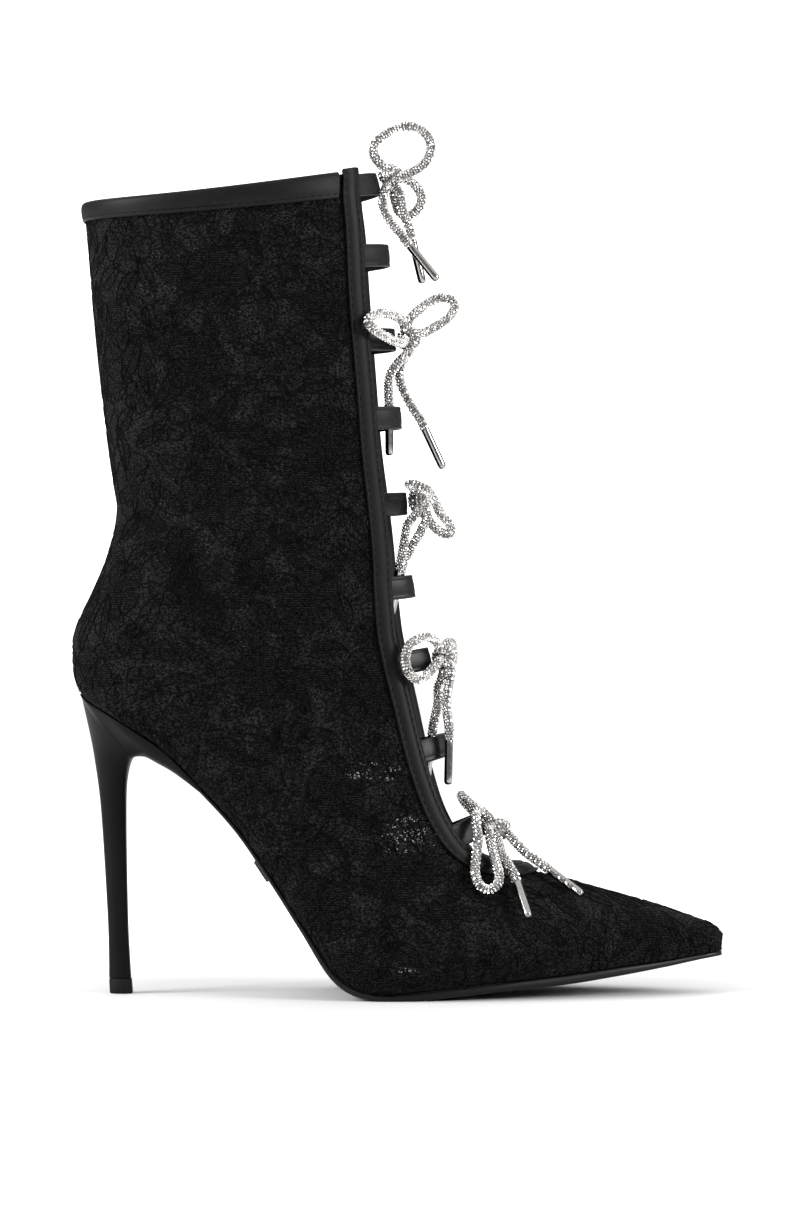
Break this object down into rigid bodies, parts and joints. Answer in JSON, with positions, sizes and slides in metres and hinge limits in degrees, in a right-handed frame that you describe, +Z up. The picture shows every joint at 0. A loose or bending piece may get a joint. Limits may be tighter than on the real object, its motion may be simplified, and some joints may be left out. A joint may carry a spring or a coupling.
{
  "type": "lace stiletto ankle boot",
  "caption": "Right ankle boot of black floral lace with a pointed toe and stiletto heel, open down the front, held by satin bars and tied with rhinestone cord bows.",
  "frame": {"origin": "on the floor under the middle of the boot's box, its bows left out", "axes": "+X towards the toe, -Y towards the outer side of the foot, +Z up"},
  "size_m": [0.228, 0.0796, 0.3038],
  "materials": {
    "black_lace": "floral lace on net",
    "black_binding": "smooth folded strip",
    "black_satin": "satin",
    "sole_black": "burnished edge",
    "heel_cover": "smooth cover",
    "rubber_tip": "matt",
    "insole_lining": "soft lining",
    "plate_metal": "dark, plain",
    "rhinestone_cord": "set with clear stones",
    "aglet_metal": "polished"
  },
  "bodies": {
    "root": {"upper": "black_lace", "collar_binding": "black_binding", "throat_binding": "black_binding", "insole": "insole_lining", "outsole": "sole_black", "heel": "heel_cover", "heel_tip": "rubber_tip", "waist_plate": "plate_metal", "strap_1": "black_satin", "strap_2": "black_satin", "strap_3": "black_satin", "strap_4": "black_satin", "strap_5": "black_satin", "strap_6": "black_satin", "strap_7": "black_satin", "strap_8": "black_satin", "strap_9": "black_satin", "bow_1_knot": "rhinestone_cord", "bow_1_outer_loop": "rhinestone_cord", "bow_1_inner_loop": "rhinestone_cord", "bow_1_outer_end": "rhinestone_cord", "bow_1_inner_end": "rhinestone_cord", "bow_1_outer_aglet": "aglet_metal", "bow_1_inner_aglet": "aglet_metal", "bow_2_knot": "rhinestone_cord", "bow_2_outer_loop": "rhinestone_cord", "bow_2_inner_loop": "rhinestone_cord", "bow_2_outer_end": "rhinestone_cord", "bow_2_inner_end": "rhinestone_cord", "bow_2_outer_aglet": "aglet_metal", "bow_2_inner_aglet": "aglet_metal", "bow_3_knot": "rhinestone_cord", "bow_3_outer_loop": "rhinestone_cord", "bow_3_inner_loop": "rhinestone_cord", "bow_3_outer_end": "rhinestone_cord", "bow_3_inner_end": "rhinestone_cord", "bow_3_outer_aglet": "aglet_metal", "bow_3_inner_aglet": "aglet_metal", "bow_4_knot": "rhinestone_cord", "bow_4_outer_loop": "rhinestone_cord", "bow_4_inner_loop": "rhinestone_cord", "bow_4_outer_end": "rhinestone_cord", "bow_4_inner_end": "rhinestone_cord", "bow_4_outer_aglet": "aglet_metal", "bow_4_inner_aglet": "aglet_metal", "bow_5_knot": "rhinestone_cord", "bow_5_outer_loop": "rhinestone_cord", "bow_5_inner_loop": "rhinestone_cord", "bow_5_outer_end": "rhinestone_cord", "bow_5_inner_end": "rhinestone_cord", "bow_5_outer_aglet": "aglet_metal", "bow_5_inner_aglet": "aglet_metal"}
  },
  "joints": []
}
